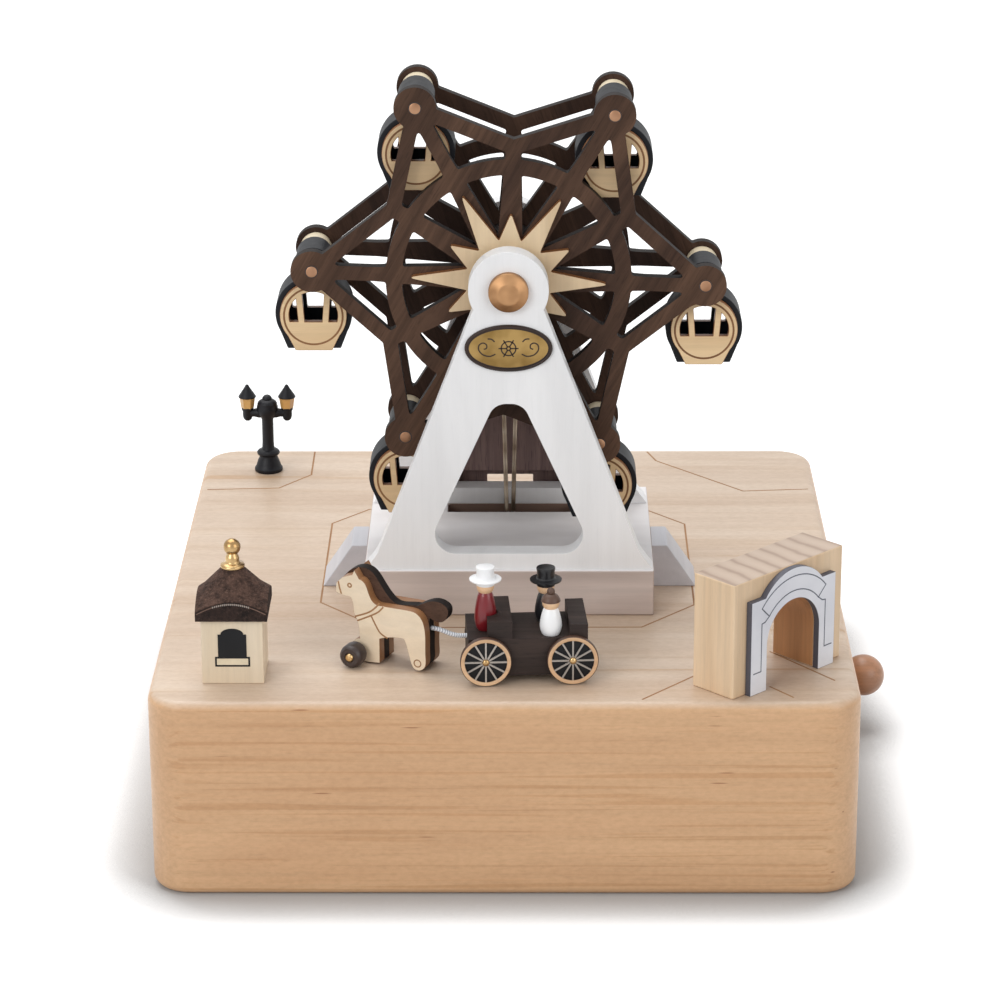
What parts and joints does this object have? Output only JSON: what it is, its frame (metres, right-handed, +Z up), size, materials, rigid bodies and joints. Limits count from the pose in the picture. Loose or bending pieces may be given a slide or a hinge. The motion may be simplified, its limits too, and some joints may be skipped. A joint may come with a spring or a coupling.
{
  "type": "crank ferris wheel toy",
  "caption": "Wooden tabletop crank toy: a ferris wheel with hanging gondolas on a white A-frame stand, turned by a side crank that also moves a horse and cart.",
  "frame": {"origin": "centre of the case's flat bottom face", "axes": "+Z up, +X to the right seen from the front (towards the crank knob), +Y towards the back"},
  "size_m": [0.196, 0.195, 0.1931],
  "materials": {
    "maple_case": "satin lacquered maple",
    "maple_light": "satin lacquered maple",
    "knob_wood": "satin lacquered hardwood",
    "walnut": "matt oiled walnut",
    "white_paint": "satin white paint",
    "black_paint": "satin black paint",
    "amber_paint": "satin amber paint",
    "stone_paint": "matt pale grey paint",
    "red_paint": "satin dark red paint",
    "figure_paint": "satin black and white paint",
    "copper": "brushed copper brass",
    "brass": "polished brass",
    "bronze": "dull bronze",
    "steel": "drawn steel",
    "cast_bed": "grey casting",
    "dark_plastic": "matt black plastic",
    "spoked_wheels": "maple rim, black disc, pale spokes",
    "dark_wheels": "matt black paint",
    "beech_block": "plain sanded beech",
    "cord": "round pale elastic cord"
  },
  "bodies": {
    "base": {"base_case": "maple_case", "bottom_cover": "maple_light", "cover_screws": "steel", "platform_block": "white_paint", "boarding_ramps": "white_paint", "front_a_frame": "white_paint", "rear_a_frame": "white_paint", "back_panel": "walnut", "name_plaque": "bronze", "axle_caps": "copper", "booth_body": "maple_light", "booth_roof": "walnut", "booth_finial": "brass", "lamp_post": "black_paint", "lamp_lanterns": "amber_paint", "gate_block": "maple_light", "gate_arch_facing": "stone_paint", "crank_bushing": "brass", "shaft_bracket": "beech_block", "turntable_collar": "dark_plastic", "movement_bedplate": "cast_bed", "movement_comb": "steel", "drive_belt": "cord"},
    "wheel": {"front_wheel_plate": "walnut", "rear_wheel_plate": "walnut", "wheel_star": "maple_light", "wheel_axle": "steel", "wheel_hub": "black_paint", "wheel_pulley": "dark_plastic", "tip_pins": "brass", "tip_spacers": "maple_light"},
    "gondola_1": {"gondola_1_shell": "black_paint", "gondola_1_faces": "maple_light"},
    "gondola_2": {"gondola_2_shell": "black_paint", "gondola_2_faces": "maple_light"},
    "gondola_3": {"gondola_3_shell": "black_paint", "gondola_3_faces": "maple_light"},
    "gondola_4": {"gondola_4_shell": "black_paint", "gondola_4_faces": "maple_light"},
    "gondola_5": {"gondola_5_shell": "black_paint", "gondola_5_faces": "maple_light"},
    "gondola_6": {"gondola_6_shell": "black_paint", "gondola_6_faces": "maple_light"},
    "crank": {"crank_shaft": "steel", "crank_arm": "steel", "crank_pulley": "dark_plastic", "crank_pinion": "dark_plastic"},
    "knob": {"crank_knob": "knob_wood"},
    "music_drum": {"music_cylinder": "brass"},
    "turntable": {"magnet_turntable": "dark_plastic", "drive_magnets": "steel"},
    "carriage": {"horse_sides": "maple_light", "horse_core": "walnut", "cart_body": "walnut", "coachman": "red_paint", "passengers": "figure_paint", "tow_link": "steel"},
    "cart_front_axle": {"cart_front_wheels": "spoked_wheels"},
    "cart_rear_axle": {"cart_rear_wheels": "spoked_wheels"},
    "horse_axle": {"horse_wheels": "dark_wheels"}
  },
  "joints": [
    {"name": "wheel_spin", "type": "hinge", "parent": "base", "child": "wheel", "pos_m": [0.001, 0, 0.1422], "axis": [0, 1, 0], "continuous": true},
    {"name": "gondola_1_hang", "type": "hinge", "parent": "wheel", "child": "gondola_1", "pos_m": [0.05226, 0, 0.14023], "axis": [0, 1, 0], "continuous": true},
    {"name": "gondola_2_hang", "type": "hinge", "parent": "wheel", "child": "gondola_2", "pos_m": [0.02834, 0, 0.18561], "axis": [0, 1, 0], "continuous": true},
    {"name": "gondola_3_hang", "type": "hinge", "parent": "wheel", "child": "gondola_3", "pos_m": [-0.02293, 0, 0.18758], "axis": [0, 1, 0], "continuous": true},
    {"name": "gondola_4_hang", "type": "hinge", "parent": "wheel", "child": "gondola_4", "pos_m": [-0.05026, 0, 0.14417], "axis": [0, 1, 0], "continuous": true},
    {"name": "gondola_5_hang", "type": "hinge", "parent": "wheel", "child": "gondola_5", "pos_m": [-0.02634, 0, 0.09879], "axis": [0, 1, 0], "continuous": true},
    {"name": "gondola_6_hang", "type": "hinge", "parent": "wheel", "child": "gondola_6", "pos_m": [0.02493, 0, 0.09682], "axis": [0, 1, 0], "continuous": true},
    {"name": "crank_spin", "type": "hinge", "parent": "base", "child": "crank", "pos_m": [0.001, 0.01135, 0.028], "axis": [1, 0, 0], "continuous": true},
    {"name": "knob_spin", "type": "hinge", "parent": "crank", "child": "knob", "pos_m": [0.1002, 0.01135, 0.0155], "axis": [1, 0, 0], "continuous": true},
    {"name": "music_spin", "type": "hinge", "parent": "base", "child": "music_drum", "pos_m": [-0.032, 0.01135, 0.01745], "axis": [0, 1, 0], "continuous": true},
    {"name": "turntable_spin", "type": "hinge", "parent": "base", "child": "turntable", "pos_m": [0.001, 0, 0.035], "axis": [0, 0, 1], "continuous": true},
    {"name": "carriage_run", "type": "hinge", "parent": "base", "child": "carriage", "pos_m": [0.001, 0, 0.053], "axis": [0, 0, 1], "continuous": true},
    {"name": "cart_front_roll", "type": "hinge", "parent": "carriage", "child": "cart_front_axle", "pos_m": [-0.00526, -0.07574, 0.0596], "axis": [0.0628, -0.998, 0], "continuous": true},
    {"name": "cart_rear_roll", "type": "hinge", "parent": "carriage", "child": "cart_rear_axle", "pos_m": [0.0167, -0.07436, 0.0596], "axis": [0.0628, -0.998, 0], "continuous": true},
    {"name": "horse_roll", "type": "hinge", "parent": "carriage", "child": "horse_axle", "pos_m": [-0.03565, -0.066, 0.0562], "axis": [-0.4067, -0.9135, 0], "continuous": true}
  ],
  "couplings": [
    {"joint": "gondola_1_hang", "follows": "wheel_spin", "ratio": -1},
    {"joint": "gondola_2_hang", "follows": "wheel_spin", "ratio": -1},
    {"joint": "gondola_3_hang", "follows": "wheel_spin", "ratio": -1},
    {"joint": "gondola_4_hang", "follows": "wheel_spin", "ratio": -1},
    {"joint": "gondola_5_hang", "follows": "wheel_spin", "ratio": -1},
    {"joint": "gondola_6_hang", "follows": "wheel_spin", "ratio": -1},
    {"joint": "crank_spin", "follows": "wheel_spin", "ratio": -1},
    {"joint": "music_spin", "follows": "wheel_spin", "ratio": 0.05},
    {"joint": "turntable_spin", "follows": "wheel_spin", "ratio": 0.18421},
    {"joint": "carriage_run", "follows": "wheel_spin", "ratio": 0.18421},
    {"joint": "cart_front_roll", "follows": "wheel_spin", "ratio": -2.1312},
    {"joint": "cart_rear_roll", "follows": "wheel_spin", "ratio": -2.1312},
    {"joint": "horse_roll", "follows": "wheel_spin", "ratio": -4.4686}
  ]
}
